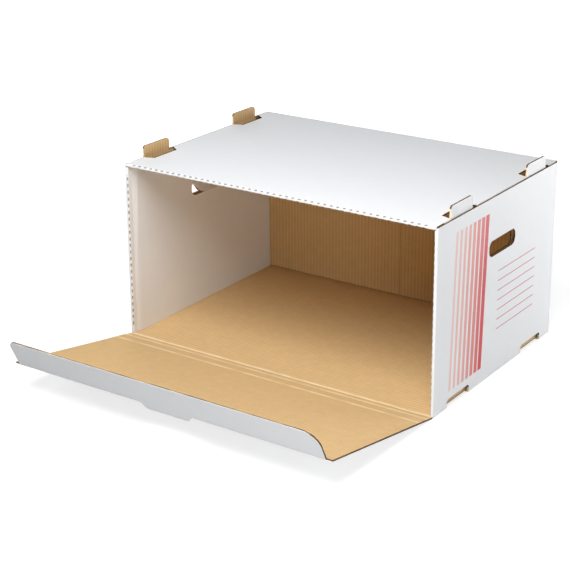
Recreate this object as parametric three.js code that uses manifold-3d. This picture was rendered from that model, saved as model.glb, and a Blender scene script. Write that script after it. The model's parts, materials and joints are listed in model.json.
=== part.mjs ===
// Front-opening archive box of single-wall corrugated board, folded from one white-faced blank.
// Millimetres, +Z up. The origin is the middle of the base: X runs across the front, and the open
// front faces -Y. The blank's fixed panels are one folded sheet. The front flap and its tuck lip
// turn on their creases, so each of them is a mesh in a group that is placed at its crease.
import * as THREE from 'three';
import { mergeVertices } from 'three/addons/utils/BufferGeometryUtils.js';
import Module from 'manifold-3d';

const wasm = await Module();
wasm.setup();

// Outer size of the closed box
const width = 530;
const depth = 365;
const height = 274;

// Corrugated board and the air that is left between two layers
const board = 2.5;
const layerGap = 0.3;
const creaseRadius = 2.2;

// Steps in the arc of a crease, and in the larger arcs of the outlines
const creaseSteps = 2;
const outlineSteps = 4;
const lipSteps = 10;

// Turned-over front edges of the side walls and of the top
const hemStraight = 6;
const joggleLength = 12;
const topUnderDepth = 75;
const underNotchPlay = 4;

// Perforated creases of those front edges
const perforationPitch = 10.5;
const perforationLength = 5;
const perforationWidth = 2;
const perforationReach = 3.2;
const perforationEnd = 14;

// How far the raw top edge of a side wall stands below the top
const sideTopDrop = 1.5;

// Side flaps of the top, tucked between the two panels of each side wall
const tuckDepth = 45;
const tuckSlant = 10;
const tuckFromFront = 22;

// Stacking tabs, which stand up out of the top in the plane of those side flaps
const tabLength = 60;
const tabHeight = 17.5;
const tabFromEnds = 40;
const tabFrontCorner = 4;
const tabRearCorner = 6;
const tabRoot = 12;
const notchFrontPlay = 1;
const notchFrontSlant = 7;
const notchRearPlay = 12;
const notchRearSlant = 13;

// Stacking sockets in the bottom edge of the side walls, which take the tabs of a box below
const socketHeight = 13;
const socketPlay = 2;
const socketCorner = 5;
const socketFloorEdge = 1;

// Hand holes
const handLength = 80;
const handHeight = 24;
const handTop = 209;
const handFromFront = 189;
const handCorner = 10;
const handInnerDrop = 1.5;
const handFlapPlay = 1;
const handFlapAngle = 45;
const handFlapRoot = 1.2;

// Seam between the two inner flaps of the back
const backSeam = 0.6;

// Front flap
const flapLength = 252;
const flapSidePlay = 0.5;
const flapAngle = 10;
const scoreOffsets = [13, 35];
const scoreWidth = 3;
const scoreDepth = 0.5;

// Tuck lip at the far end of the front flap, and its pull tongue
const lipLength = 46;
const lipAngle = 54;
const lipSidePlay = 1.3;
const lipLeftCorner = 12;
const lipRightCorner = 24;
const tongueFromMiddle = 5;
const tongueLength = 86;
const tongueDepth = 11.5;
const tongueSlant = 8;
const tongueCorner = 7;

// Places that follow from the sizes
const sideX = width / 2;
const frontY = -depth / 2;
const backY = depth / 2;
const layer = board + layerGap;
const hemWidth = board + layer;
const wallThickness = hemWidth + layer;
const innerX = sideX - wallThickness;
const topX = sideX - layer;
const topUnderside = height - hemWidth;
const sideTop = height - sideTopDrop;
const sideBackY = backY - layer;
const innerBackY = sideBackY - board;
const liningBackY = innerBackY - layerGap;
const tabY = [frontY + tabFromEnds + tabLength / 2, backY - tabFromEnds - tabLength / 2];
const tuckFrontY = frontY + tuckFromFront;
const tuckBackY = liningBackY;
const lipHalf = innerX - lipSidePlay;
const handY = frontY + handFromFront;

const white = { color: 0xe9eaea, roughness: 0.62, metalness: 0 };
const kraft = { color: 0xdcbc8d, roughness: 0.85, metalness: 0 };

const radians = (degrees) => THREE.MathUtils.degToRad(degrees);

// Closed outline through corners [u, v, radius]; a corner with no radius is sharp.
function outline(corners) {
  const shape = new THREE.Shape();
  corners.forEach(([u, v, radius = 0], i) => {
    const corner = new THREE.Vector2(u, v);
    const before = corners[(i + corners.length - 1) % corners.length];
    const after = corners[(i + 1) % corners.length];
    const toBefore = new THREE.Vector2(before[0], before[1]).sub(corner).normalize();
    const toAfter = new THREE.Vector2(after[0], after[1]).sub(corner).normalize();
    const halfAngle = Math.acos(toBefore.dot(toAfter)) / 2;
    const start = corner.clone().addScaledVector(toBefore, radius / Math.tan(halfAngle));
    if (i === 0) shape.moveTo(start.x, start.y);
    else shape.lineTo(start.x, start.y);
    if (radius === 0) return;
    const end = corner.clone().addScaledVector(toAfter, radius / Math.tan(halfAngle));
    const inward = toBefore.clone().add(toAfter).normalize();
    const centre = corner.clone().addScaledVector(inward, radius / Math.sin(halfAngle));
    const from = Math.atan2(start.y - centre.y, start.x - centre.x);
    const to = Math.atan2(end.y - centre.y, end.x - centre.x);
    const leftTurn = toAfter.cross(toBefore) > 0;
    shape.absarc(centre.x, centre.y, radius, from, to, !leftTurn);
  });
  return shape;
}

// Extrudes an outline along one axis. It lies in YZ for x, in XZ for y and in XY for z.
const planes = {
  x: [[0, 1, 0], [0, 0, 1], [1, 0, 0], 1],
  y: [[1, 0, 0], [0, 0, 1], [0, -1, 0], -1],
  z: [[1, 0, 0], [0, 1, 0], [0, 0, 1], 1],
};

function prism(corners, axis, from, to, steps = creaseSteps) {
  const [across, up, along, sign] = planes[axis];
  const settings = { depth: to - from, bevelEnabled: false, curveSegments: steps };
  const geometry = new THREE.ExtrudeGeometry(outline(corners), settings);
  geometry.translate(0, 0, sign > 0 ? from : -to);
  const basis = [across, up, along].map((v) => new THREE.Vector3(...v));
  geometry.applyMatrix4(new THREE.Matrix4().makeBasis(...basis));
  return toSolid(geometry);
}

function block(x0, x1, y0, y1, z0, z1) {
  const geometry = new THREE.BoxGeometry(x1 - x0, y1 - y0, z1 - z0);
  geometry.translate((x0 + x1) / 2, (y0 + y1) / 2, (z0 + z1) / 2);
  return toSolid(geometry);
}

function toSolid(geometry) {
  geometry.deleteAttribute('normal');
  geometry.deleteAttribute('uv');
  const merged = mergeVertices(geometry, 1e-5);
  const mesh = new wasm.Mesh({
    numProp: 3,
    vertProperties: new Float32Array(merged.attributes.position.array),
    triVerts: new Uint32Array(merged.index.array),
  });
  return new wasm.Manifold(mesh);
}

function toMesh(name, solid, look) {
  const { vertProperties, triVerts } = solid.getMesh();
  const geometry = new THREE.BufferGeometry();
  geometry.setAttribute('position', new THREE.BufferAttribute(vertProperties, 3));
  geometry.setIndex(new THREE.BufferAttribute(triVerts, 1));
  geometry.computeVertexNormals();
  const mesh = new THREE.Mesh(geometry, new THREE.MeshStandardMaterial(look));
  mesh.name = name;
  return mesh;
}

const union = (solids) => solids.reduce((sum, solid) => sum.add(solid));
const mirrored = (solid) => solid.mirror([1, 0, 0]);
const bothSides = (solid) => [solid, mirrored(solid)];

// Floor and the two outer side panels, folded up on rounded creases. The upright front and rear
// edges of a side panel are creases too.
function makeTray() {
  const section = [
    [-sideX, 0, creaseRadius],
    [sideX, 0, creaseRadius],
    [sideX, sideTop],
    [sideX - board, sideTop],
    [sideX - board, board],
    [-sideX + board, board],
    [-sideX + board, sideTop],
    [-sideX, sideTop],
  ];
  const uprightEdge = [
    [sideX - board, frontY],
    [sideX, frontY, creaseRadius],
    [sideX, sideBackY, creaseRadius],
    [sideX - board, sideBackY],
  ];
  const middle = prism(section, 'y', frontY + creaseRadius, sideBackY - creaseRadius);
  const floor = block(-sideX + board, sideX - board, frontY, sideBackY, 0, board);
  return union([middle, floor, ...bothSides(prism(uprightEdge, 'z', creaseRadius, sideTop))]);
}

// Outer back panel, as wide as the top: folded up from the rear edge of the floor, and folded
// forward again into the rear edge of the top.
function makeBack() {
  const section = [
    [sideBackY - board, 0],
    [backY, 0, creaseRadius],
    [backY, height, creaseRadius],
    [tuckBackY, height],
    [tuckBackY, height - board],
    [backY - board, height - board],
    [backY - board, board],
    [sideBackY - board, board],
  ];
  return prism(section, 'x', -topX, topX);
}

// Inner half of the back, folded in from the rear edge of a side panel.
function makeInnerBack() {
  const low = board + layerGap;
  return block(backSeam / 2, sideX - board, innerBackY, sideBackY, low, height - layer);
}

// Front edge of a side wall: the outer panel turns over through 180 degrees, steps inwards to
// leave room for the tucked flap of the top, and runs back as the inner panel.
function makeSideLining() {
  const hemBack = frontY + board + hemStraight;
  const joggleBack = hemBack + joggleLength;
  const section = [
    [sideX - board, frontY],
    [sideX - board, frontY + board],
    [sideX - layer, frontY + board],
    [sideX - layer, hemBack],
    [sideX - layer - layer, joggleBack],
    [sideX - layer - layer, liningBackY],
    [innerX, liningBackY],
    [innerX, joggleBack],
    [sideX - hemWidth, hemBack],
    [sideX - hemWidth, frontY, creaseRadius],
  ];
  return prism(section, 'z', board + layerGap, topUnderside - layerGap);
}

// Top panel between the side walls, with its front edge turned under through 180 degrees.
function makeTop() {
  const frontSection = [
    [tuckFrontY, height],
    [frontY, height, creaseRadius],
    [frontY, topUnderside, creaseRadius],
    [frontY + board, topUnderside],
    [frontY + board, height - board],
    [tuckFrontY, height - board],
  ];
  const acrossSection = [
    [-topX, height - 2 * board],
    [-topX, height, creaseRadius],
    [topX, height, creaseRadius],
    [topX, height - 2 * board],
    [topX - board, height - 2 * board],
    [topX - board, height - board],
    [-topX + board, height - board],
    [-topX + board, height - 2 * board],
  ];
  const underX = innerX - layerGap;
  const underNeckX = topX - tabHeight - underNotchPlay;
  const underNeckY = frontY + tabFromEnds - notchFrontPlay - underNotchPlay;
  const underBackY = frontY + topUnderDepth;
  const under = prism([
    [-underX, frontY + board],
    [underX, frontY + board],
    [underX, underNeckY - (underX - underNeckX) / 2],
    [underNeckX, underNeckY],
    [underNeckX, underBackY],
    [-underNeckX, underBackY],
    [-underNeckX, underNeckY],
    [-underX, underNeckY - (underX - underNeckX) / 2],
  ], 'z', topUnderside, topUnderside + board);
  const top = union([
    prism(frontSection, 'x', -topX, topX),
    block(-underX, underX, frontY, frontY + 2 * board, topUnderside + board / 2, height - board),
    under,
    prism(acrossSection, 'y', tuckFrontY, tuckBackY),
  ]);
  const notches = tabY.flatMap((y) => bothSides(makeNotch(y)));
  return notches.reduce((solid, notch) => solid.subtract(notch), top);
}

// Opening that a stacking tab leaves in the top, with slanted ends.
function makeNotch(y) {
  const front = y - tabLength / 2 - notchFrontPlay;
  const back = y + tabLength / 2 + notchRearPlay;
  const inner = topX - tabHeight;
  const corners = [
    [topX + layerGap / 2, front],
    [topX + layerGap / 2, back],
    [inner, back - notchRearSlant],
    [inner, front + notchFrontSlant],
  ];
  return prism(corners, 'z', height - board - tabRoot / 2, height + board);
}

// Side flap of the top, tucked into the side wall, with its two stacking tabs.
function makeTuckedFlap() {
  const low = height - tuckDepth;
  const high = height - creaseRadius;
  const panel = [
    [tuckFrontY, high],
    [tuckFrontY, low + tuckSlant],
    [tuckFrontY + tuckSlant, low],
    [tuckBackY - tuckSlant, low],
    [tuckBackY, low + tuckSlant],
    [tuckBackY, high],
  ];
  const tabs = tabY.map((y) => [
    [y - tabLength / 2, height - tabRoot],
    [y + tabLength / 2, height - tabRoot],
    [y + tabLength / 2, height + tabHeight, tabRearCorner],
    [y - tabLength / 2, height + tabHeight, tabFrontCorner],
  ]);
  const pieces = [panel, ...tabs];
  return union(pieces.map((piece) => prism(piece, 'x', topX - board, topX, outlineSteps)));
}

// Outline of a hand hole in YZ, lowered by the given amount.
function handCorners(drop) {
  const half = handLength / 2;
  const low = handTop - handHeight - drop;
  const high = handTop - drop;
  return [
    [handY - half, low, handCorner],
    [handY + half, low, handCorner],
    [handY + half, high, handCorner],
    [handY - half, high, handCorner],
  ];
}

// Flap of the lining's hand hole, pushed inwards on its top crease.
function makeHandFlap() {
  const crease = handTop - handInnerDrop;
  const half = handLength / 2 - handFlapPlay;
  const low = handFlapPlay - handHeight;
  const corners = [
    [handY - half, low, handCorner],
    [handY + half, low, handCorner],
    [handY + half, -handFlapPlay],
    [handY + half - handCorner, handFlapRoot],
    [handY - half + handCorner, handFlapRoot],
    [handY - half, -handFlapPlay],
  ];
  const flap = prism(corners, 'x', -board, 0, outlineSteps);
  return flap.rotate([0, handFlapAngle, 0]).translate([innerX + board, 0, crease]);
}

// Socket in the bottom edge of a side wall: open below, and cut back as far as the lining.
function makeSocket(y) {
  const half = tabLength / 2 + socketPlay;
  const corners = [
    [y - half, -board],
    [y + half, -board],
    [y + half, socketHeight, socketCorner],
    [y - half, socketHeight, socketCorner],
  ];
  const floorEdge = innerX + socketFloorEdge;
  const under = block(floorEdge, sideX, y - half, y + half, -board, board + layerGap / 2);
  const wall = prism(corners, 'x', innerX + board + layerGap / 2, sideX + board, outlineSteps);
  return wall.add(under);
}

// Slits along a crease at (u, v) in the plane across the axis, evenly spaced about its middle. They
// run inwards along the diagonal that the signs inU and inV give.
function makePerforations(axis, u, v, inU, inV, from, to) {
  const middle = (from + to) / 2;
  const count = Math.floor((to - from - 2 * perforationEnd) / perforationPitch) + 1;
  const inward = new THREE.Vector2(inU, inV).normalize().multiplyScalar(perforationReach);
  const across = new THREE.Vector2(-inV, inU).normalize().multiplyScalar(perforationWidth / 2);
  const corners = [[-1, -1], [1, -1], [1, 1], [-1, 1]].map(([along, side]) => [
    u + along * inward.x + side * across.x,
    v + along * inward.y + side * across.y,
  ]);
  return Array.from({ length: count }, (_, i) => {
    const centre = middle + (i - (count - 1) / 2) * perforationPitch;
    return prism(corners, axis, centre - perforationLength / 2, centre + perforationLength / 2);
  });
}

function makeBody() {
  const outerHole = prism(handCorners(0), 'x', sideX - layer, sideX + board, outlineSteps);
  const liningHole = prism(handCorners(handInnerDrop), 'x', innerX - board, innerX + layer, outlineSteps);
  const sockets = tabY.map(makeSocket);
  const openings = [...sockets, outerHole, liningHole].flatMap(bothSides);
  const perforations = [
    ...makePerforations('x', frontY, height, 1, -1, -topX, topX),
    ...makePerforations('x', frontY, topUnderside, 1, 1, -topX + perforationPitch / 2, topX),
    ...makePerforations('z', sideX - hemWidth, frontY, 1, 1, 0, topUnderside).flatMap(bothSides),
  ];
  const panels = union([
    makeTray(),
    makeBack(),
    ...bothSides(makeInnerBack()),
    ...bothSides(makeSideLining()),
  ]);
  const walls = openings.reduce((solid, opening) => solid.subtract(opening), panels);
  const tuckedFlaps = bothSides(makeTuckedFlap());
  const folded = union([walls, makeTop(), ...tuckedFlaps, ...bothSides(makeHandFlap())]);
  return perforations.reduce((solid, slit) => solid.subtract(slit), folded);
}

// Outline of the pull tongue in XY, with the fold at y = 0; grow widens it all round.
function tongueCorners(root, grow) {
  const left = tongueFromMiddle - tongueLength / 2 - grow;
  const right = tongueFromMiddle + tongueLength / 2 + grow;
  const tip = tongueDepth + grow;
  return [
    [left, root],
    [right, root],
    [right, 0],
    [right - tongueSlant, tip, tongueCorner],
    [left + tongueSlant, tip, tongueCorner],
    [left, 0],
  ];
}

// Front flap in its own frame: the hinge crease is the X axis, and its inner face is z = 0.
function makeFrontFlap() {
  const half = sideX - flapSidePlay;
  const panel = block(-half, half, -flapLength, 0, -board, 0);
  const nose = Array.from({ length: 2 * creaseSteps + 1 }, (_, i) => {
    const turn = radians(lipAngle) * i / (2 * creaseSteps);
    return [-flapLength - board * Math.sin(turn), -board * Math.cos(turn)];
  });
  const fold = prism([[-flapLength, 0], ...nose], 'x', -lipHalf, lipHalf);
  const scores = scoreOffsets.map((offset) => prism([
    [-offset - scoreWidth / 2, scoreDepth],
    [-offset, -scoreDepth],
    [-offset + scoreWidth / 2, scoreDepth],
  ], 'x', -sideX, sideX));
  const recess = prism(tongueCorners(-2 * board, layerGap), 'z', -2 * board, board, outlineSteps);
  const cuts = [...scores, recess.translate([0, -flapLength, 0])];
  return cuts.reduce((solid, cutter) => solid.subtract(cutter), panel.add(fold));
}

// Tuck lip in its own frame: its crease is the X axis, it runs towards -Y, its inner face is z = 0.
function makeTuckLip() {
  const panel = prism([
    [-lipHalf, -lipLength, lipLeftCorner],
    [lipHalf, -lipLength, lipRightCorner],
    [lipHalf, -layerGap],
    [-lipHalf, -layerGap],
  ], 'z', -board, 0, lipSteps);
  const tongue = prism(tongueCorners(-2 * board, 0), 'z', -board, 0, outlineSteps);
  return panel.add(tongue);
}

const box = new THREE.Group();
box.add(toMesh('box_body', makeBody(), white));

const flapHinge = new THREE.Group();
flapHinge.position.set(0, frontY - layerGap, board);
flapHinge.rotation.x = -radians(flapAngle);
flapHinge.add(toMesh('front_flap', makeFrontFlap(), kraft));
box.add(flapHinge);

const lipFold = new THREE.Group();
lipFold.position.set(0, -flapLength, 0);
lipFold.rotation.x = -radians(lipAngle);
lipFold.add(toMesh('tuck_lip', makeTuckLip(), white));
flapHinge.add(lipFold);

export default box;
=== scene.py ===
"""Archive box folded from corrugated board: its liners, creases, cut edges and print."""
import json
import math

import bpy
from mathutils import Matrix, Vector


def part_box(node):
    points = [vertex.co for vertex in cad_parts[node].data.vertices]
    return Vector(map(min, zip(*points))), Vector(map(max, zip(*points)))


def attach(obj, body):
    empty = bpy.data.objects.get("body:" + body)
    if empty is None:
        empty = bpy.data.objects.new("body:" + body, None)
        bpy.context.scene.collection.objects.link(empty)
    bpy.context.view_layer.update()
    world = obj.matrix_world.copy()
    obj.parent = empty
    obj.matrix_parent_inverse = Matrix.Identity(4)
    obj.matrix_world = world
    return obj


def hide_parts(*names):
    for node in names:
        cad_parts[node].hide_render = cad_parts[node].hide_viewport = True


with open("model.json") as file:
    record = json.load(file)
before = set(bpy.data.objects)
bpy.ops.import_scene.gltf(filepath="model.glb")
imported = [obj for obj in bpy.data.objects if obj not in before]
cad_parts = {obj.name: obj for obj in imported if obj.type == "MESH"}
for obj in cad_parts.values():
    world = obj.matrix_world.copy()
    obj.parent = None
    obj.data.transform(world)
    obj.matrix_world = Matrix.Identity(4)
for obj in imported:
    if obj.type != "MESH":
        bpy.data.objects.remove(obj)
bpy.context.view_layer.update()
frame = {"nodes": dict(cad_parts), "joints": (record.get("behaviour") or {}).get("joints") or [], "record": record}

bl_info = {
    "name": "Archive box",
    "version": (1, 0, 0),
    "blender": (4, 5, 0),
    "location": "3D View > Sidebar > Archive box",
    "description": "Dresses the archive box's folded board and builds its studio",
    "category": "Object",
}

MM = 0.001

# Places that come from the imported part, in metres
JOINTS = {joint["name"]: joint for joint in frame["joints"]}
MOUNTS = {mount["name"]: mount for mount in frame["record"]["mounts"]}
BODY_LOW, BODY_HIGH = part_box("box_body")
HINGE = Vector(JOINTS["flap_hinge"]["pos_m"])
FOLD = Vector(JOINTS["lip_fold"]["pos_m"])
SIDE_X = BODY_HIGH.x
FRONT_Y = BODY_LOW.y
BACK_Y = BODY_HIGH.y
BOARD = HINGE.z
HEIGHT = MOUNTS["stacking_top"]["pos_m"][2]
LIP_BEND = math.radians(54)  # how far the lip is bent up from the flap at rest
FLAP_TILT = math.atan2(FOLD.z - HINGE.z, HINGE.y - FOLD.y)
LIP_TILT = FLAP_TILT + LIP_BEND

# Faces of the board's layers, counted inwards from the outer face of each wall
LAYER_GAP = 0.3 * MM
LAYER = BOARD + LAYER_GAP
TAB_X = SIDE_X - LAYER
HEM_X = TAB_X - BOARD
LINING_X = HEM_X - LAYER
TOP_UNDERSIDE = HEIGHT - BOARD - LAYER
INNER_BACK_Y = BACK_Y - LAYER - BOARD

# Reach of a crease's rounding, of a slit from its crease, and of a side hem from the front:
# as far as it is straight, and as far as it has stepped inwards
BEND = 2.3 * MM
SLIT = 3 * MM
SLIT_MOUTH = 0.3 * MM
SLIT_END = 0.7 * SLIT
HEM_STRAIGHT = 9 * MM
HEM_TURN = 22 * MM

# Room about the notches in the top, about a hand hole, and about its pushed-in flap
NOTCH_REACH = 10 * MM
NOTCH_FROM_ENDS = 25 * MM
HOLE_NEAR, HOLE_FAR = FRONT_Y + 140 * MM, FRONT_Y + 240 * MM
HOLE_LOW, HOLE_HIGH = 190 * MM, 228 * MM
HAND_FLAP_REACH = 20 * MM
HAND_FLAP_TOP = HEIGHT - 50 * MM

# Scores across the front flap: distance from its hinge, and how pale it is painted, partly as stretched kraft and
# partly as a painted highlight on its ridge
SCORES = [(0, 1.0), (13 * MM, 0.6), (35 * MM, 0.7)]
SCORE_BED = (0.3 * MM, 0.7 * MM)  # depths between which the bottoms of the grooves lie

# Places closer than this are on the same face of the board
TOUCH = 0.12 * MM
WELD = 0.01 * MM

# How much a normal points along an axis, from all the way to not at all
FULLY = 0.999
MOSTLY = 0.7
HALF = 0.5
PARTLY = 0.3
A_LITTLE = 0.05
HARDLY = 0.01

CREASE_SHADING = math.radians(35)  # creases turn in steps of less than this, and cut edges more


def linear(code):
    """Linear RGB of an sRGB hex colour."""
    channels = [int(code[i:i + 2], 16) / 255 for i in (1, 3, 5)]
    return tuple(c / 12.92 if c <= 0.04045 else ((c + 0.055) / 1.055) ** 2.4 for c in channels)


def colour(name, description, code):
    return bpy.props.FloatVectorProperty(
        name=name, description=description, subtype="COLOR", size=3, min=0, max=1,
        default=linear(code),
    )


def length(name, description, millimetres):
    return bpy.props.FloatProperty(
        name=name, description=description, unit="LENGTH", default=millimetres * MM,
        min=0, precision=5,
    )


class BoardSettings(bpy.types.PropertyGroup):
    white_liner: colour("White liner", "Bleached outer face of the board", "#EDEEF0")
    kraft_liner: colour("Kraft liner", "Brown inner face of the board", "#DEBB88")
    # Paler partly as stretched kraft and partly as a painted highlight on a score's ridge
    pressed_kraft_and_highlight: colour("Pressed kraft", "Kraft liner where a score has stretched it", "#F6DDB0")
    # Kraft brown of cut board, made darker partly as painted shade on the cut edges
    cut_paper_and_shade: colour("Cut paper", "Liners and fluting where a knife crossed the flutes", "#A8855C")
    # Painted shade: the open hollows of cut fluting and of open seams
    painted_hollow_shade: colour("Cut hollow", "Shaded hollows between the flutes of a cut edge", "#2A1D12")
    slit_paper: colour("Slit paper", "Long cut edge that runs along the flutes", "#F2DDBB")
    slit_shade: colour("Slit shade", "Torn fluting in a long cut edge", "#C79E6C")
    # Painted shade: two greys that stand for the shaded inside of a perforation, mixed by fine fibre noise
    perforation_shade_dark: colour("Punched paper, dark", "Crushed paper deep in a perforation", "#98928A")
    perforation_shade_pale: colour("Punched paper, pale", "Crushed paper at a perforation's mouth", "#D2C9BC")
    flute_pitch: length("Flute pitch", "Distance from one flute to the next", 6.3)
    flute_height: length("Flute height", "Half the height of the fluting's wave", 0.75)
    paper_line: length("Paper line", "Drawn thickness of a liner or of the fluting", 0.32)
    score_reach: length("Score reach", "Half the width of a score's pale ridge", 4.2)
    score_crown: length("Score crown", "Half the width of the palest part of that ridge", 1.8)
    score_rise: length("Score rise", "How far a score's groove is pushed up into a ridge", 0.75)
    back_gap: length("Back gap", "How far the inner back's foot stands clear of the floor", 1.5)


class PrintSettings(bpy.types.PropertyGroup):
    deep_red: colour("Deep red", "Darkest ink of the graded bars", "#D8232A")
    pale_red: colour("Pale red", "Lightest ink of the graded bars", "#F3C4B8")
    line_red: colour("Line red", "Ink of the writing lines", "#C42A42")
    film: length("Ink film", "Thickness of the ink above and below the liner's face", 0.05)
    corner: length("Ink corner", "Rounding of the corners of a bar or a line", 0.5)
    line_count: bpy.props.IntProperty(
        name="Lines", description="Number of writing lines on a side wall", default=7, min=1)
    line_pitch: length("Line pitch", "Distance between two writing lines", 14.75)
    line_width: length("Line width", "Thickness of a writing line", 1.2)
    line_start: length("Line start", "Distance from the front to the writing lines", 180)
    line_length: length("Line length", "Length of a writing line", 117)
    line_top: length("Line top", "Height of the uppermost writing line", 157.5)
    bar_count: bpy.props.IntProperty(
        name="Bars", description="Number of graded bars on a side wall", default=8, min=2)
    bar_start: length("Bar start", "Distance from the front to the first bar's foot", 42)
    bar_pitch: length("Bar pitch", "Distance from one bar to the next", 12)
    bar_slim: length("Bar slim", "Width of the palest bar", 5)
    bar_broad: length("Bar broad", "Width of the deepest bar", 10)
    bar_lean: length("Bar lean", "How far a bar leans back over its height", 10)
    bar_low: length("Bar foot", "Height of the bars' lower ends", 24)
    bar_high: length("Bar head", "Height of the bars' upper ends", 252)
    bar_grading: bpy.props.FloatProperty(
        name="Bar grading", description="How late the bars deepen in colour; 1 is evenly",
        default=1.3, min=0.1)


class StageSettings(bpy.types.PropertyGroup):
    floor_colour: colour("Floor", "Pale floor that the box stands on", "#B4B4B4")
    floor_bounce: colour("Floor bounce", "Floor as the box's own faces see it", "#CCCCCC")
    floor_glow: bpy.props.FloatProperty(
        name="Floor glow", description="White added to the floor that the camera sees",
        default=0.72, min=0, max=1, subtype="FACTOR")
    sky_colour: colour("Sky", "Even light from above", "#F6FAFF")
    sky_level: bpy.props.FloatProperty(
        name="Sky level", description="Strength of the light from overhead", default=0.16)
    horizon_level: bpy.props.FloatProperty(
        name="Horizon level", description="Strength of the light from all round", default=0.05)
    key_power: bpy.props.FloatProperty(
        name="Key power", description="Power of the lamp above the front", default=19.5,
        unit="POWER")
    side_power: bpy.props.FloatProperty(
        name="Side power", description="Power of the reflector on the right", default=5,
        unit="POWER")
    rear_power: bpy.props.FloatProperty(
        name="Rear power", description="Power of the lamp behind the left", default=12,
        unit="POWER")
    lip_power: bpy.props.FloatProperty(
        name="Lip power", description="Power of the reflector before the lip", default=2.6,
        unit="POWER")


def add_node(tree, kind, inputs=(), **settings):
    """Adds one node, sets its properties, and links or sets its inputs."""
    node = tree.nodes.new(kind)
    for name, value in settings.items():
        setattr(node, name, value)
    for socket, value in dict(inputs).items():
        if isinstance(value, bpy.types.NodeSocket):
            tree.links.new(value, node.inputs[socket])
        else:
            node.inputs[socket].default_value = value
    return node


def new_material(name, roughness):
    """An empty node material of the given roughness, with its tree and its shader."""
    material = bpy.data.materials.new(name)
    material.use_nodes = True
    tree = material.node_tree
    tree.nodes.clear()
    shader = add_node(tree, "ShaderNodeBsdfPrincipled", {"Roughness": roughness})
    add_node(tree, "ShaderNodeOutputMaterial", {"Surface": shader.outputs["BSDF"]})
    return material, tree, shader


def rgba(paper, level=1.0):
    """A paper's colour for a node's socket, made darker or lighter by a level."""
    return tuple(min(1, c * level) for c in paper) + (1,)


def wave_scale(period):
    """Scale at which a band texture repeats after a period in metres."""
    return math.pi / (10 * period)


def panel_place(tree, tilt):
    """Object coordinates, turned so that a tilted panel lies flat: x, along it, and across it."""
    place = add_node(tree, "ShaderNodeTexCoord").outputs["Object"]
    turned = add_node(tree, "ShaderNodeMapping", {"Vector": place, "Rotation": (tilt, 0, 0)})
    return turned.outputs["Vector"]


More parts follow.
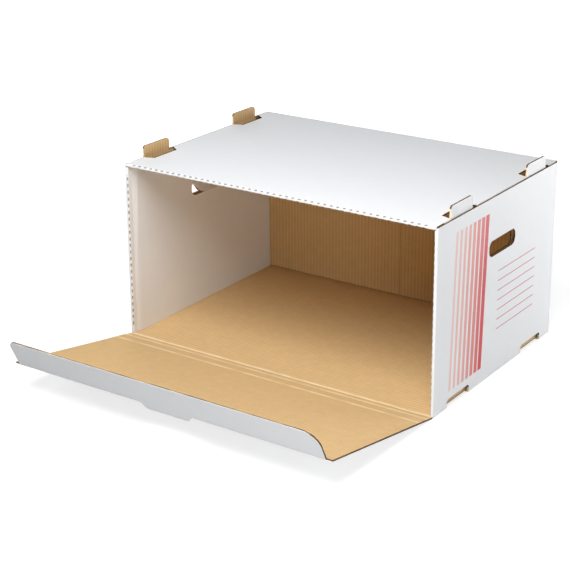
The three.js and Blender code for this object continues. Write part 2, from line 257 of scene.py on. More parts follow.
def liner(name, paper, roughness, mottle, valley_shade_level, flutes, tilt=0, scores=()):
    """Paper liner glued to fluting: faint washboard ridges with painted shade in their valleys, cloudy pulp,
    fibres, and scores painted pale, partly as stretched kraft and partly as a painted highlight on their ridges.
    """
    board = bpy.context.scene.archive_board
    material, tree, shader = new_material(name, roughness)
    place = panel_place(tree, tilt)
    ridges = add_node(
        tree, "ShaderNodeTexWave",
        {"Vector": place, "Scale": wave_scale(board.flute_pitch), "Distortion": 0.35,
         "Detail": 1.0, "Detail Scale": 0.4},
        wave_type="BANDS", bands_direction=flutes, wave_profile="SIN",
    )
    # Clouds of pulp are about 14 mm across. Fibres are drawn 1.2 mm wide, coarser than real ones.
    clouds = add_node(tree, "ShaderNodeTexNoise",
                      {"Vector": place, "Scale": 1 / 0.014, "Detail": 4.0})
    combing = (1, 1, 0.25) if flutes == "X" else (0.25, 1, 1)
    combed = add_node(tree, "ShaderNodeMapping", {"Vector": place, "Scale": combing})
    fibres = add_node(
        tree, "ShaderNodeTexNoise",
        {"Vector": combed.outputs[0], "Scale": 1 / 0.0012, "Detail": 3.0, "Roughness": 0.7},
    )
    pulp = add_node(
        tree, "ShaderNodeMix",
        {"Factor": 0.45, "A": clouds.outputs["Fac"], "B": fibres.outputs["Fac"]},
        data_type="FLOAT",
    )
    spread = add_node(tree, "ShaderNodeMapRange",
                      {"Value": pulp.outputs["Result"], "From Min": 0.3, "From Max": 0.7})
    body = add_node(
        tree, "ShaderNodeMixRGB",
        {"Fac": spread.outputs["Result"], "Color1": rgba(paper, 1 - mottle),
         "Color2": rgba(paper, 1 + 0.6 * mottle)},
    )
    # Painted shade: the valleys of the washboard ridges are darkened towards black
    painted_valley_shade = add_node(tree, "ShaderNodeMath", {0: ridges.outputs["Fac"], 1: valley_shade_level},
                      operation="MULTIPLY")
    face = add_node(
        tree, "ShaderNodeMixRGB",
        {"Fac": painted_valley_shade.outputs[0], "Color1": body.outputs["Color"], "Color2": (0, 0, 0, 1)},
    )
    washboard = add_node(
        tree, "ShaderNodeBump",
        {"Height": ridges.outputs["Fac"], "Strength": 0.35, "Distance": 0.06 * MM},
    )
    tooth = add_node(
        tree, "ShaderNodeBump",
        {"Height": fibres.outputs["Fac"], "Strength": 0.3, "Distance": 0.03 * MM,
         "Normal": washboard.outputs["Normal"]},
    )
    finish, relief = face.outputs["Color"], tooth.outputs["Normal"]
    along = add_node(tree, "ShaderNodeSeparateXYZ", {"Vector": place}).outputs["Y"]
    # Scored fibres are stretched unevenly, in runs of about 30 mm; the paleness is partly a painted highlight on
    # the score's ridge
    runs = add_node(tree, "ShaderNodeTexNoise", {"Vector": place, "Scale": 1 / 0.03, "Detail": 4.0})
    for score, paleness in scores:
        stretch_and_highlight = add_node(
            tree, "ShaderNodeMapRange",
            {"Value": runs.outputs["Fac"], "From Min": 0.35, "From Max": 0.6,
             "To Min": 0.4 * paleness, "To Max": paleness},
        )
        offset = add_node(tree, "ShaderNodeMath", {0: along, 1: score}, operation="SUBTRACT")
        distance = add_node(tree, "ShaderNodeMath", {0: offset.outputs[0]}, operation="ABSOLUTE")
        ridge = add_node(
            tree, "ShaderNodeMapRange",
            {"Value": distance.outputs[0], "From Min": board.score_reach,
             "From Max": board.score_crown, "To Max": stretch_and_highlight.outputs["Result"]},
            interpolation_type="SMOOTHSTEP",
        )
        finish = add_node(
            tree, "ShaderNodeMixRGB",
            {"Fac": ridge.outputs["Result"], "Color1": finish, "Color2": rgba(board.pressed_kraft_and_highlight)},
        ).outputs["Color"]
        relief = add_node(
            tree, "ShaderNodeBump",
            {"Height": ridge.outputs["Result"], "Strength": 0.5, "Distance": 0.6 * MM,
             "Normal": relief},
        ).outputs["Normal"]
    tree.links.new(finish, shader.inputs["Base Color"])
    tree.links.new(relief, shader.inputs["Normal"])
    return material


def white_liner(name, flutes="Y", tilt=0):
    # White-top liner, clay-coated and calendered: even, with a faint satin sheen and a trace of painted shade in
    # its washboard valleys
    return liner(name, bpy.context.scene.archive_board.white_liner, 0.5, 0.016, 0.012, flutes, tilt)


def kraft_liner(name, flutes="Y", tilt=0, scores=()):
    # Unbleached kraft liner, left rough: dull, with cloudy pulp, painted shade in its washboard valleys, and paler
    # where it was scored, partly as a painted highlight on the score's ridge
    paper = bpy.context.scene.archive_board.kraft_liner
    return liner(name, paper, 0.85, 0.08, 0.16, flutes, tilt, scores)


def cut_across(name, thickness, run, layer_start, tilt=0):
    """Board knifed across its flutes: two liners, the fluting's wave, and painted shade in the hollows between."""
    board = bpy.context.scene.archive_board
    material, tree, shader = new_material(name, 0.9)
    axes = add_node(tree, "ShaderNodeSeparateXYZ", {"Vector": panel_place(tree, tilt)})
    side = add_node(tree, "ShaderNodeMath", {0: axes.outputs[thickness]}, operation="ABSOLUTE")
    centred = add_node(tree, "ShaderNodeMath", {0: side.outputs[0], 1: layer_start + BOARD / 2},
                       operation="SUBTRACT")
    depth = add_node(tree, "ShaderNodeMath", {0: centred.outputs[0], 1: LAYER / 2, 2: -LAYER / 2},
                     operation="WRAP")
    angle = add_node(tree, "ShaderNodeMath",
                     {0: axes.outputs[run], 1: 2 * math.pi / board.flute_pitch},
                     operation="MULTIPLY")
    swing = add_node(tree, "ShaderNodeMath", {0: angle.outputs[0]}, operation="SINE")
    wave = add_node(tree, "ShaderNodeMath", {0: swing.outputs[0], 1: board.flute_height},
                    operation="MULTIPLY")
    gap = add_node(tree, "ShaderNodeMath", {0: depth.outputs[0], 1: wave.outputs[0]},
                   operation="SUBTRACT")
    to_fluting = add_node(tree, "ShaderNodeMath", {0: gap.outputs[0]}, operation="ABSOLUTE")
    from_middle = add_node(tree, "ShaderNodeMath", {0: depth.outputs[0]}, operation="ABSOLUTE")
    to_liner = add_node(tree, "ShaderNodeMath", {0: BOARD / 2, 1: from_middle.outputs[0]},
                        operation="SUBTRACT")
    nearest = add_node(tree, "ShaderNodeMath", {0: to_fluting.outputs[0], 1: to_liner.outputs[0]},
                       operation="MINIMUM")
    hollow = add_node(
        tree, "ShaderNodeMapRange",
        {"Value": nearest.outputs[0], "From Min": board.paper_line * 0.5,
         "From Max": board.paper_line * 1.2},
        interpolation_type="SMOOTHSTEP",
    )
    paper = add_node(
        tree, "ShaderNodeMixRGB",
        {"Fac": hollow.outputs["Result"], "Color1": rgba(board.cut_paper_and_shade),
         "Color2": rgba(board.painted_hollow_shade)},
    )
    recess = add_node(
        tree, "ShaderNodeBump",
        {"Height": hollow.outputs["Result"], "Strength": 0.6, "Distance": 0.4 * MM}, invert=True,
    )
    tree.links.new(paper.outputs["Color"], shader.inputs["Base Color"])
    tree.links.new(recess.outputs["Normal"], shader.inputs["Normal"])
    return material


def cut_along(name):
    # Board knifed along its flutes: pale torn fluting between two liners, streaked lengthways
    board = bpy.context.scene.archive_board
    material, tree, shader = new_material(name, 0.9)
    place = panel_place(tree, 0)
    # Tears are about 2.5 mm long
    tears = add_node(tree, "ShaderNodeTexNoise",
                     {"Vector": place, "Scale": 1 / 0.0025, "Detail": 3.0})
    torn = add_node(
        tree, "ShaderNodeMapRange",
        {"Value": tears.outputs["Fac"], "From Min": 0.5, "From Max": 0.7},
        interpolation_type="SMOOTHSTEP",
    )
    paper = add_node(
        tree, "ShaderNodeMixRGB",
        {"Fac": torn.outputs["Result"], "Color1": rgba(board.slit_paper),
         "Color2": rgba(board.slit_shade)},
    )
    furrow = add_node(tree, "ShaderNodeBump",
                      {"Height": tears.outputs["Fac"], "Strength": 0.5, "Distance": 0.3 * MM})
    tree.links.new(paper.outputs["Color"], shader.inputs["Base Color"])
    tree.links.new(furrow.outputs["Normal"], shader.inputs["Normal"])
    return material


def crushed_edge(name, tilt, middle):
    """Free edge of the lip, knifed along its flutes: two liners pressed over an open seam painted dark as shade.
    """
    board = bpy.context.scene.archive_board
    material, tree, shader = new_material(name, 0.9)
    place = panel_place(tree, tilt)
    height = add_node(tree, "ShaderNodeSeparateXYZ", {"Vector": place}).outputs["Z"]
    depth = add_node(tree, "ShaderNodeMath", {0: height, 1: middle}, operation="SUBTRACT")
    liners = add_node(
        tree, "ShaderNodeMapRange",
        {"Value": depth.outputs[0], "From Min": -0.1 * MM, "From Max": 0.1 * MM},
    )
    paper = add_node(
        tree, "ShaderNodeMixRGB",
        {"Fac": liners.outputs["Result"], "Color1": rgba(board.white_liner),
         "Color2": rgba(board.kraft_liner)},
    )
    from_middle = add_node(tree, "ShaderNodeMath", {0: depth.outputs[0]}, operation="ABSOLUTE")
    seam = add_node(
        tree, "ShaderNodeMapRange",
        {"Value": from_middle.outputs[0], "From Min": 0.36 * BOARD, "From Max": 0.2 * BOARD},
    )
    # Fluting closes the seam here and there, in runs of about 40 mm
    runs = add_node(tree, "ShaderNodeTexNoise", {"Vector": place, "Scale": 1 / 0.04, "Detail": 5.0})
    shut = add_node(
        tree, "ShaderNodeMapRange",
        {"Value": runs.outputs["Fac"], "From Min": 0.42, "From Max": 0.62},
    )
    inside = add_node(
        tree, "ShaderNodeMixRGB",
        {"Fac": shut.outputs["Result"], "Color1": rgba(board.painted_hollow_shade),
         "Color2": rgba(board.cut_paper_and_shade)},
    )
    face = add_node(
        tree, "ShaderNodeMixRGB",
        {"Fac": seam.outputs["Result"], "Color1": paper.outputs["Color"],
         "Color2": inside.outputs["Color"]},
    )
    groove = add_node(
        tree, "ShaderNodeBump",
        {"Height": seam.outputs["Result"], "Strength": 0.6, "Distance": 0.4 * MM}, invert=True,
    )
    tree.links.new(face.outputs["Color"], shader.inputs["Base Color"])
    tree.links.new(groove.outputs["Normal"], shader.inputs["Normal"])
    return material


def perforation_wall(name):
    # Walls of a punched slit: a dull grey of painted shade for the slit's shaded inside, mottled by fine fibre
    # noise
    board = bpy.context.scene.archive_board
    material, tree, shader = new_material(name, 0.95)
    fibres = add_node(tree, "ShaderNodeTexNoise",
                      {"Vector": panel_place(tree, 0), "Scale": 1 / 0.0006, "Detail": 2.0})
    paper = add_node(
        tree, "ShaderNodeMixRGB",
        {"Fac": fibres.outputs["Fac"], "Color1": rgba(board.perforation_shade_dark),
         "Color2": rgba(board.perforation_shade_pale)},
    )
    tree.links.new(paper.outputs["Color"], shader.inputs["Base Color"])
    return material


def shaded_edge(name):
    # Ends of the hand hole, knifed along the flutes: the open channels show as deep shade
    board = bpy.context.scene.archive_board
    material, tree, shader = new_material(name, 0.95)
    # Liners and torn walls cross the shade about every 2 mm
    walls = add_node(tree, "ShaderNodeTexNoise",
                     {"Vector": panel_place(tree, 0), "Scale": 1 / 0.002, "Detail": 2.0})
    lit = add_node(tree, "ShaderNodeMapRange",
                   {"Value": walls.outputs["Fac"], "From Min": 0.55, "From Max": 0.75})
    paper = add_node(
        tree, "ShaderNodeMixRGB",
        {"Fac": lit.outputs["Result"], "Color1": rgba(board.painted_hollow_shade),
         "Color2": rgba(board.cut_paper_and_shade)},
    )
    tree.links.new(paper.outputs["Color"], shader.inputs["Base Color"])
    return material


def printing_ink(name, ink):
    # Flexographic ink: a flat thin film that the liner's tooth breaks up into fine pale specks
    board = bpy.context.scene.archive_board
    material, tree, shader = new_material(name, 0.42)
    place = panel_place(tree, 0)
    # Specks are drawn 1.5 mm apart, coarser than real ones
    specks = add_node(tree, "ShaderNodeTexNoise",
                      {"Vector": place, "Scale": 1 / 0.0015, "Detail": 2.0})
    bare = add_node(
        tree, "ShaderNodeMapRange",
        {"Value": specks.outputs["Fac"], "From Min": 0.25, "From Max": 0.75, "To Max": 0.12},
    )
    film = add_node(
        tree, "ShaderNodeMixRGB",
        {"Fac": bare.outputs["Result"], "Color1": rgba(ink), "Color2": rgba(board.white_liner)},
    )
    ridges = add_node(
        tree, "ShaderNodeTexWave", {"Vector": place, "Scale": wave_scale(board.flute_pitch)},
        wave_type="BANDS", bands_direction="Y", wave_profile="SIN",
    )
    washboard = add_node(
        tree, "ShaderNodeBump",
        {"Height": ridges.outputs["Fac"], "Strength": 0.35, "Distance": 0.06 * MM},
    )
    tree.links.new(film.outputs["Color"], shader.inputs["Base Color"])
    tree.links.new(washboard.outputs["Normal"], shader.inputs["Normal"])
    return material


def select_only(*pieces):
    bpy.ops.object.select_all(action="DESELECT")
    for piece in pieces:
        piece.select_set(True)
    bpy.context.view_layer.objects.active = pieces[0]


def sheet_from(node, name):
    """A merged copy of a CAD node, selected alone, which then stands for that node."""
    piece = bpy.data.objects.new(name, frame["nodes"][node].data.copy())
    bpy.context.scene.collection.objects.link(piece)
    piece.data.name = name
    piece.data.materials.clear()
    select_only(piece)
    bpy.ops.object.mode_set(mode="EDIT")
    bpy.ops.mesh.select_all(action="SELECT")
    bpy.ops.mesh.remove_doubles(threshold=WELD)
    bpy.ops.object.mode_set(mode="OBJECT")
    return piece


def move_vertices(piece, chosen, offset):
    """Moves the vertices that chosen picks out by their place."""
    select_only(piece)
    bpy.ops.object.mode_set(mode="EDIT")
    bpy.ops.mesh.select_mode(type="VERT")
    bpy.ops.mesh.select_all(action="DESELECT")
    bpy.ops.object.mode_set(mode="OBJECT")
    for vertex in piece.data.vertices:
        vertex.select = chosen(vertex.co)
    bpy.ops.object.mode_set(mode="EDIT")
    bpy.ops.transform.translate(value=offset)
    bpy.ops.object.mode_set(mode="OBJECT")


def dress(piece, materials, choose):
    """Gives each face the material that choose names for its middle and its normal."""
    names = list(materials)
    for name in names:
        piece.data.materials.append(materials[name])
    for face in piece.data.polygons:
        face.material_index = names.index(choose(face.center, face.normal))
    piece.data.update()


def round_creases(piece):
    """Smooths the shading round the creases, and keeps panels flat and cut edges crisp."""
    select_only(piece)
    bpy.ops.object.shade_smooth_by_angle(angle=CREASE_SHADING)
    bpy.ops.object.modifier_add(type="WEIGHTED_NORMAL")
    modifier = piece.modifiers[-1]
    modifier.mode = "FACE_AREA"
    modifier.weight = 100
    modifier.keep_sharp = True
    bpy.ops.object.modifier_apply(modifier=modifier.name)


def near(value, target):
    """True where both are places on the same face of the board."""
    return abs(value - target) < TOUCH


def body_face(middle, normal):
    """Which side of the folded blank, or which kind of cut, a face of the body belongs to."""
    side = math.copysign(1, middle.x)
    x, y, z = abs(middle.x), middle.y, middle.z
    outward = normal.x * side
    if in_slit(x, y, z, outward, normal):
        return "slit"
    if abs(outward) > FULLY:
        return upright_side_face(x, y, z, outward)
    if abs(normal.z) > FULLY:
        return level_face(z, normal.z)
    if abs(normal.y) > FULLY:
        return upright_cross_face(x, y, z, normal.y)
    return slanted_face(x, y, z, outward, normal)


def in_top_notch(x, y, z):
    from_ends = min(y - FRONT_Y, BACK_Y - y)
    in_reach = x > HEM_X - NOTCH_REACH and from_ends > NOTCH_FROM_ENDS
    return in_reach and TOP_UNDERSIDE < z < HEIGHT


def in_hand_hole(x, y, z):
    in_wall = x > LINING_X - 1 * MM
    return in_wall and HOLE_NEAR < y < HOLE_FAR and HOLE_LOW < z < HOLE_HIGH


def in_slit(x, y, z, outward, normal):
    """True inside the perforations, which run inwards from a crease along its diagonal."""
    diagonal = math.sqrt(0.5)
    if abs(y - FRONT_Y) > SLIT:
        return False
    if x < TAB_X and HEIGHT - z < SLIT:
        reach, facing = HEIGHT - z, normal.z
    elif x < TAB_X and abs(z - TOP_UNDERSIDE) < SLIT:
        reach, facing = z - TOP_UNDERSIDE, -normal.z
    elif HEM_X - TOUCH < x < HEM_X + SLIT and z < TOP_UNDERSIDE:
        reach, facing = x - HEM_X, -outward
    else:
        return False
    run = (reach + y - FRONT_Y) * diagonal
    facing_out = (facing - normal.y) * diagonal
    return run > SLIT_MOUTH and (facing_out < PARTLY or run > SLIT_END)


def upright_side_face(x, y, z, outward):
    if near(x, SIDE_X):
        return "white"
    if near(x, TAB_X) and outward > 0:
        if y > INNER_BACK_Y or y < FRONT_Y + HEM_TURN and z > TOP_UNDERSIDE:
            return "cut_level"
        return "kraft" if y < FRONT_Y + HEM_TURN else "white"
    if near(x, LINING_X) or near(x, HEM_X) and y < FRONT_Y + HEM_STRAIGHT:
        return "white" if outward < 0 else "kraft"
    if near(x, HEM_X) or near(x, LINING_X + BOARD) or near(x, SIDE_X - BOARD):
        return "kraft"
    return "cut_level"


def level_face(z, up):
    if near(z, 0) or near(z, HEIGHT) or near(z, TOP_UNDERSIDE) and up < 0:
        return "white"
    if near(z, BOARD) or near(z, HEIGHT - BOARD) or near(z, TOP_UNDERSIDE + BOARD):
        return "kraft"
    return "cut_side"


def upright_cross_face(x, y, z, facing):
    if near(y, FRONT_Y) and facing < 0:
        return "slit_edge" if x > SIDE_X - BOARD and z > TOP_UNDERSIDE else "white"
    if near(y, BACK_Y) and facing > 0:
        return "white_back"
    if near(y, BACK_Y - LAYER) and facing > 0:
        return "white"
    if near(y, INNER_BACK_Y) and facing < 0:
        return "kraft_back"
    if near(y, BACK_Y - BOARD) or near(y, FRONT_Y + BOARD):
        return "kraft"
    return shaded_or_pale(x, y, z)


def shaded_or_pale(x, y, z):
    """Long cut edges are pale, except in the hand holes and in the notches beside the tabs."""
    return "shaded_edge" if in_hand_hole(x, y, z) or in_top_notch(x, y, z) else "slit_edge"


def slanted_face(x, y, z, outward, normal):
    """Rounded creases and side hems show the white face, and slanted knife cuts the fluting."""
    on_lining = x < HEM_X and y < FRONT_Y + HEM_TURN and abs(normal.z) < HARDLY
    if on_lining:
        return "white" if outward < 0 else "kraft"
    leans_in = abs(normal.y) < HARDLY and LINING_X - HAND_FLAP_REACH < x < TAB_X
    if leans_in and HEIGHT / 2 < z < HAND_FLAP_TOP:
        return "kraft" if outward > 0 and normal.z < 0 else "white"
    rear = y > BACK_Y - LAYER - BEND and normal.y > HARDLY
    foot = z < BEND and normal.z < -HARDLY
    front = y < FRONT_Y + BEND and normal.y < -HARDLY
    shoulder = x > TAB_X - BEND and z > HEIGHT - BEND and min(normal.z, outward) > HARDLY
    if rear or foot or front or shoulder and abs(normal.y) < HARDLY:
        return "white"
    return "cut_side" if abs(normal.z) > HARDLY else shaded_or_pale(x, y, z)


class BuildBody(bpy.types.Operator):
    """Dresses the folded body: floor, double side walls, back, and top with its stacking tabs"""
    bl_idname = "archive.body"
    bl_label = "Body"

    def execute(self, context):
        piece = sheet_from("box_body", "folded_body")
        self.lift_inner_back(piece, context.scene.archive_board.back_gap)
        materials = {
            "white": white_liner("white_top_liner"),
            "white_back": white_liner("white_top_liner_back", flutes="Z"),
            # The floor's hinge crease is painted pale, partly as a painted highlight
            "kraft": kraft_liner("kraft_liner", scores=[(FRONT_Y, 1.0)]),
            "kraft_back": kraft_liner("kraft_liner_back", flutes="X"),
            "cut_side": cut_across("cut_across_side_flutes", "X", "Y", LINING_X),
            "cut_level": cut_across("cut_across_level_flutes", "Z", "Y", TOP_UNDERSIDE),
            "slit_edge": cut_along("cut_along_flutes"),
            "shaded_edge": shaded_edge("shaded_hand_hole_edge"),
            "slit": perforation_wall("perforation_wall"),
        }
        dress(piece, materials, body_face)
        round_creases(piece)
        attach(piece, "body")
        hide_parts("box_body")
        return {"FINISHED"}

    def lift_inner_back(self, piece, gap):
        """Opens the joint between the floor and the foot of the folded-in back panels."""

        def at_foot(place):
            on_panel = near(place.y, INNER_BACK_Y) or near(place.y, INNER_BACK_Y + BOARD)
            return on_panel and near(place.z, LAYER) and abs(place.x) < SIDE_X - BOARD + TOUCH

        move_vertices(piece, at_foot, (0, 0, gap))


def panel_normal(tilt):
    """Direction in which the inner face of a panel tilted about X looks."""
    return Vector((0, math.sin(tilt), math.cos(tilt)))


def panel_offset(tilt, point):
    """Place along a tilted panel, in its own coordinates, of a point at its hinge."""
    return (Matrix.Rotation(tilt, 3, "X") @ point).y


def panel_face(tilt):
    """Chooses the side of the blank for the faces of a panel tilted about X."""
    inner = panel_normal(tilt)

    def choose(middle, normal):
        facing = normal.dot(inner)
        if facing > MOSTLY:
            return "kraft"
        if facing < -MOSTLY:
            return "white"
        if abs(normal.x) > HALF:
            return "cut_across"
        return "white" if abs(facing) > A_LITTLE else "cut_along"

    return choose


def dress_panel(piece, tilt, hinge, scores=()):
    """Gives a tilted panel its kraft and white liners, and its two kinds of cut edge."""
    name = piece.name
    middle = (Matrix.Rotation(tilt, 3, "X") @ hinge).z - BOARD / 2
    layer_start = abs(middle) - BOARD / 2
    materials = {
        "kraft": kraft_liner(name + "_kraft_liner", tilt=tilt, scores=scores),
        "white": white_liner(name + "_white_top_liner", tilt=tilt),
        "cut_across": cut_across(name + "_cut_across_flutes", "Z", "Y", layer_start, tilt),
        "cut_along": crushed_edge(name + "_crushed_edge", tilt, middle),
    }
    dress(piece, materials, panel_face(tilt))
    round_creases(piece)


class BuildFrontFlap(bpy.types.Operator):
    """Dresses the front flap: kraft inside, white outside, with two raised scores near its hinge"""
    bl_idname = "archive.front_flap"
    bl_label = "Front flap"

    def execute(self, context):
        piece = sheet_from("front_flap", "scored_front_flap")
        self.raise_scores(piece, context.scene.archive_board.score_rise)
        start = panel_offset(FLAP_TILT, HINGE)
        scores = [(start - distance, paleness) for distance, paleness in SCORES]
        dress_panel(piece, FLAP_TILT, HINGE, scores)
        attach(piece, "flap")
        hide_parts("front_flap")
        return {"FINISHED"}

    def raise_scores(self, piece, rise):
        """Pushes the bottom of each groove up into a low ridge, as the scoring wheel left it."""
        inner = panel_normal(FLAP_TILT)

        def in_groove(place):
            return SCORE_BED[0] < (HINGE - place).dot(inner) < SCORE_BED[1]

        move_vertices(piece, in_groove, inner * rise)


class BuildTuckLip(bpy.types.Operator):
    """Dresses the tuck lip and its pull tongue"""
    bl_idname = "archive.tuck_lip"
    bl_label = "Tuck lip"

    def execute(self, context):
        piece = sheet_from("tuck_lip", "tuck_lip_with_tongue")
        dress_panel(piece, LIP_TILT, FOLD)
        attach(piece, "lip")
        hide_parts("tuck_lip")
        return {"FINISHED"}


def ink_strip(name, ink, start, width, low, high, lean=0.0):
    """A film of ink on the right side wall, between two heights, whose head may lean back."""
    settings = bpy.context.scene.archive_print
    bpy.ops.object.select_all(action="DESELECT")
    bpy.ops.mesh.primitive_cube_add(
        size=1, location=(SIDE_X, start + width / 2, (low + high) / 2),
        scale=(2 * settings.film, width, high - low),
    )
    strip = bpy.context.active_object
    strip.name = name
    bpy.ops.object.transform_apply(location=True, rotation=True, scale=True)
    move_vertices(strip, lambda place: near(place.z, high), (0, lean, 0))
    round_corners(strip, settings.film, settings.corner)
    strip.data.materials.append(ink)
    return strip


def round_corners(strip, film, radius):
    """Rounds the edges that run through the thickness of a film of ink."""
    bpy.ops.object.mode_set(mode="EDIT")
    bpy.ops.mesh.select_mode(type="EDGE")
    bpy.ops.mesh.select_all(action="DESELECT")
    bpy.ops.object.mode_set(mode="OBJECT")
    places = [vertex.co.copy() for vertex in strip.data.vertices]
    for edge in strip.data.edges:
        first, second = edge.vertices
        edge.select = abs(places[first].x - places[second].x) > film
    bpy.ops.object.mode_set(mode="EDIT")
    bpy.ops.mesh.bevel(offset=radius, segments=3)
    bpy.ops.object.mode_set(mode="OBJECT")


class BuildSidePrint(bpy.types.Operator):
    """Prints graded bars and writing lines on both side walls"""
    bl_idname = "archive.side_print"
    bl_label = "Side print"

    def execute(self, context):
        settings = context.scene.archive_print
        strips = self.writing_lines(settings) + self.graded_bars(settings)
        select_only(*strips)
        bpy.ops.object.join()
        right = context.active_object
        right.name = right.data.name = "side_print_right"
        left = self.mirrored_copy(right)
        for piece in (right, left):
            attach(piece, "body")
        return {"FINISHED"}

    def writing_lines(self, settings):
        """The uppermost line, and each of the others as a copy of the one above it."""
        ink = printing_ink("printing_ink_lines", settings.line_red)
        start = FRONT_Y + settings.line_start
        top, half = settings.line_top, settings.line_width / 2
        lines = [ink_strip("writing_line", ink, start, settings.line_length,
                           top - half, top + half)]
        for i in range(1, settings.line_count):
            select_only(lines[-1])
            bpy.ops.object.duplicate()
            bpy.ops.transform.translate(value=(0, 0, -settings.line_pitch))
            bpy.ops.object.transform_apply(location=True, rotation=False, scale=False)
            lines.append(bpy.context.active_object)
        return lines

    def graded_bars(self, settings):
        """Bars that grow deeper in colour and broader towards the back."""
        bars = []
        for i in range(settings.bar_count):
            share = i / (settings.bar_count - 1)
            depth = share ** settings.bar_grading
            tone = Vector(settings.pale_red).lerp(Vector(settings.deep_red), depth)
            ink = printing_ink("printing_ink_bar", tone)
            start = FRONT_Y + settings.bar_start + i * settings.bar_pitch
            width = settings.bar_slim + (settings.bar_broad - settings.bar_slim) * share
            bars.append(ink_strip("graded_bar", ink, start, width, settings.bar_low,
                                  settings.bar_high, settings.bar_lean))
        return bars

    def mirrored_copy(self, right):
        select_only(right)
        bpy.ops.object.duplicate()
        left = bpy.context.active_object
        left.name = left.data.name = "side_print_left"
        bpy.ops.object.mode_set(mode="EDIT")
        bpy.ops.mesh.select_all(action="SELECT")
        bpy.ops.transform.resize(value=(-1, 1, 1), center_override=(0, 0, 0))
        bpy.ops.mesh.normals_make_consistent(inside=False)
        bpy.ops.object.mode_set(mode="OBJECT")
        return left


# Camera fitted to the box's corners, creases, tabs and hand hole in a 570 x 570 picture
CAMERA_PLACE = Vector((1168.1, -1833.1, 921.0)) * MM
CAMERA_AZIMUTH = math.radians(34.73)
CAMERA_ELEVATION = math.radians(19.05)
CAMERA_ROLL = math.radians(-0.41)
CAMERA_FOCAL_PIXELS = 1529.4
CAMERA_SHIFT = -0.1
PICTURE_PIXELS = 570
SENSOR = 36.0

# Lamps: place, point that they face, and size, in metres
KEY_PLACE = Vector((0.17, -0.8, 1.15))
KEY_AIM = Vector((0, -0.1, 0.1))
KEY_SIZE = (1.0, 0.8)
SIDE_PLACE = Vector((0.85, 0.7, 0.15))
SIDE_AIM = Vector((0.26, 0.15, 0.15))
SIDE_SIZE = (0.7, 0.24)
REAR_PLACE = Vector((-1.3, 1.1, 0.5))
REAR_AIM = Vector((-0.1, 0, 0.15))
REAR_SIZE = (0.8, 0.8)
LIP_PLACE = Vector((0.9, -1.0, 0.15))
LIP_AIM = Vector((0.25, -0.45, 0.05))
LIP_SIZE = (0.3, 0.2)

# Distances from the box's middle between which the floor that the camera sees turns white
FADE_START = 0.5
FADE_END = 1.3


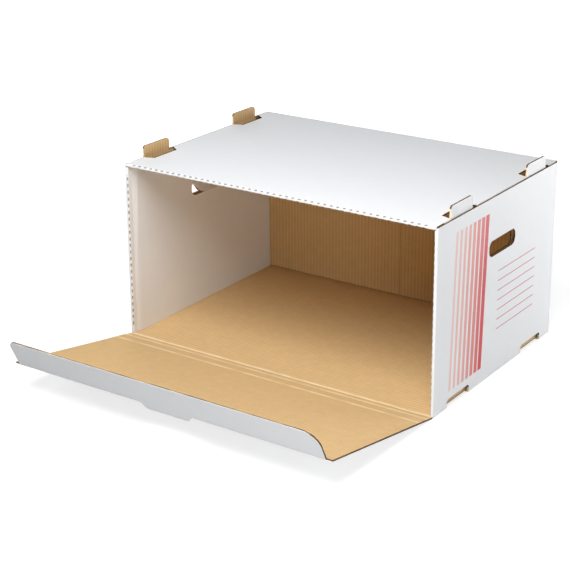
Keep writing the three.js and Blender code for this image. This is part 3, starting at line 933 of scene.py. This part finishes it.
class BuildStage(bpy.types.Operator):
    """Adds the pale floor, the soft lamps and the camera"""
    bl_idname = "archive.stage"
    bl_label = "Stage"

    def execute(self, context):
        stage = context.scene.archive_stage
        self.add_floor(stage)
        self.add_sky(context, stage)
        key = self.add_softbox("key_softbox", KEY_PLACE, KEY_AIM, KEY_SIZE, stage.key_power)
        self.add_softbox("side_reflector", SIDE_PLACE, SIDE_AIM, SIDE_SIZE, stage.side_power)
        rear = self.add_softbox("rear_softbox", REAR_PLACE, REAR_AIM, REAR_SIZE, stage.rear_power)
        self.add_softbox("lip_reflector", LIP_PLACE, LIP_AIM, LIP_SIZE, stage.lip_power)
        for lamp in (key, rear):  # their sheen would bleach the top when it is seen against them
            lamp.visible_glossy = False
        self.add_camera(context)
        context.scene.view_settings.view_transform = "Standard"
        return {"FINISHED"}

    def add_floor(self, stage):
        bpy.ops.object.select_all(action="DESELECT")
        bpy.ops.mesh.primitive_plane_add(size=16, location=(0, 0, -0.1 * MM))
        floor = bpy.context.active_object
        floor.name = "studio_floor"
        material, tree, shader = new_material("painted_floor", 0.9)
        path = add_node(tree, "ShaderNodeLightPath")
        paint = add_node(
            tree, "ShaderNodeMixRGB",
            {"Fac": path.outputs["Is Camera Ray"], "Color1": rgba(stage.floor_bounce),
             "Color2": rgba(stage.floor_colour)},
        )
        place = add_node(tree, "ShaderNodeTexCoord").outputs["Object"]
        distance = add_node(tree, "ShaderNodeVectorMath", {0: place}, operation="LENGTH")
        glow = add_node(
            tree, "ShaderNodeMapRange",
            {"Value": distance.outputs["Value"], "From Min": FADE_START, "From Max": FADE_END,
             "To Min": stage.floor_glow, "To Max": 1.0},
            interpolation_type="SMOOTHSTEP",
        )
        lift = add_node(tree, "ShaderNodeMath",
                        {0: path.outputs["Is Camera Ray"], 1: glow.outputs["Result"]},
                        operation="MULTIPLY")
        shader.inputs["Emission Color"].default_value = (1, 1, 1, 1)
        tree.links.new(paint.outputs["Color"], shader.inputs["Base Color"])
        tree.links.new(lift.outputs[0], shader.inputs["Emission Strength"])
        floor.data.materials.append(material)

    def add_sky(self, context, stage):
        world = bpy.data.worlds.new("studio_sky")
        world.use_nodes = True
        context.scene.world = world
        tree = world.node_tree
        tree.nodes.clear()
        direction = add_node(tree, "ShaderNodeTexCoord").outputs["Generated"]
        rise = add_node(tree, "ShaderNodeSeparateXYZ", {"Vector": direction}).outputs["Z"]
        level = add_node(
            tree, "ShaderNodeMapRange",
            {"Value": rise, "From Min": 0.2, "From Max": 0.7, "To Min": stage.horizon_level,
             "To Max": stage.sky_level},
        )
        path = add_node(tree, "ShaderNodeLightPath")
        strength = add_node(
            tree, "ShaderNodeMix",
            {"Factor": path.outputs["Is Camera Ray"], "A": level.outputs["Result"], "B": 1.0},
            data_type="FLOAT",
        )
        tint = add_node(
            tree, "ShaderNodeMixRGB",
            {"Fac": path.outputs["Is Camera Ray"], "Color1": rgba(stage.sky_colour),
             "Color2": (1, 1, 1, 1)},
        )
        sky = add_node(tree, "ShaderNodeBackground",
                       {"Color": tint.outputs["Color"], "Strength": strength.outputs["Result"]})
        add_node(tree, "ShaderNodeOutputWorld", {"Surface": sky.outputs["Background"]})

    def add_softbox(self, name, place, aim, size, power):
        turn = (aim - place).to_track_quat("-Z", "Y").to_euler()
        bpy.ops.object.select_all(action="DESELECT")
        bpy.ops.object.light_add(type="AREA", location=place, rotation=turn)
        lamp = bpy.context.active_object
        lamp.name = name
        lamp.data.shape = "RECTANGLE"
        lamp.data.size, lamp.data.size_y = size
        lamp.data.energy = power
        lamp.visible_camera = False
        return lamp

    def add_camera(self, context):
        azimuth, elevation, roll = CAMERA_AZIMUTH, CAMERA_ELEVATION, CAMERA_ROLL
        ahead = Vector((
            -math.sin(azimuth) * math.cos(elevation),
            math.cos(azimuth) * math.cos(elevation),
            -math.sin(elevation),
        ))
        level = Vector((math.cos(azimuth), math.sin(azimuth), 0))
        upright = level.cross(ahead)
        right = math.cos(roll) * level + math.sin(roll) * upright
        up = -math.sin(roll) * level + math.cos(roll) * upright
        turn = Matrix((right, up, -ahead)).transposed().to_euler()
        bpy.ops.object.select_all(action="DESELECT")
        bpy.ops.object.camera_add(location=CAMERA_PLACE, rotation=turn)
        camera = bpy.context.active_object
        camera.name = "photo_camera"
        camera.data.sensor_width = SENSOR
        camera.data.lens = CAMERA_FOCAL_PIXELS * SENSOR / PICTURE_PIXELS
        camera.data.shift_y = CAMERA_SHIFT
        camera.data.clip_end = 100
        context.scene.camera = camera


class ArchivePanel(bpy.types.Panel):
    """Lists the operators that build the archive box"""
    bl_idname = "VIEW3D_PT_archive_box"
    bl_label = "Archive box"
    bl_space_type = "VIEW_3D"
    bl_region_type = "UI"
    bl_category = "Archive box"

    def draw(self, context):
        for operator in OPERATORS:
            self.layout.operator(operator.bl_idname)


SETTINGS = {
    "archive_board": BoardSettings,
    "archive_print": PrintSettings,
    "archive_stage": StageSettings,
}
OPERATORS = (BuildBody, BuildFrontFlap, BuildTuckLip, BuildSidePrint, BuildStage)
CLASSES = (*SETTINGS.values(), *OPERATORS, ArchivePanel)


def register():
    for cls in CLASSES:
        bpy.utils.register_class(cls)
    for name, group in SETTINGS.items():
        setattr(bpy.types.Scene, name, bpy.props.PointerProperty(type=group))


def unregister():
    for name in SETTINGS:
        delattr(bpy.types.Scene, name)
    for cls in reversed(CLASSES):
        bpy.utils.unregister_class(cls)


def main():
    register()
    bpy.ops.archive.body()
    bpy.ops.archive.front_flap()
    bpy.ops.archive.tuck_lip()
    bpy.ops.archive.side_print()
    bpy.ops.archive.stage()


if __name__ == "__main__":
    main()
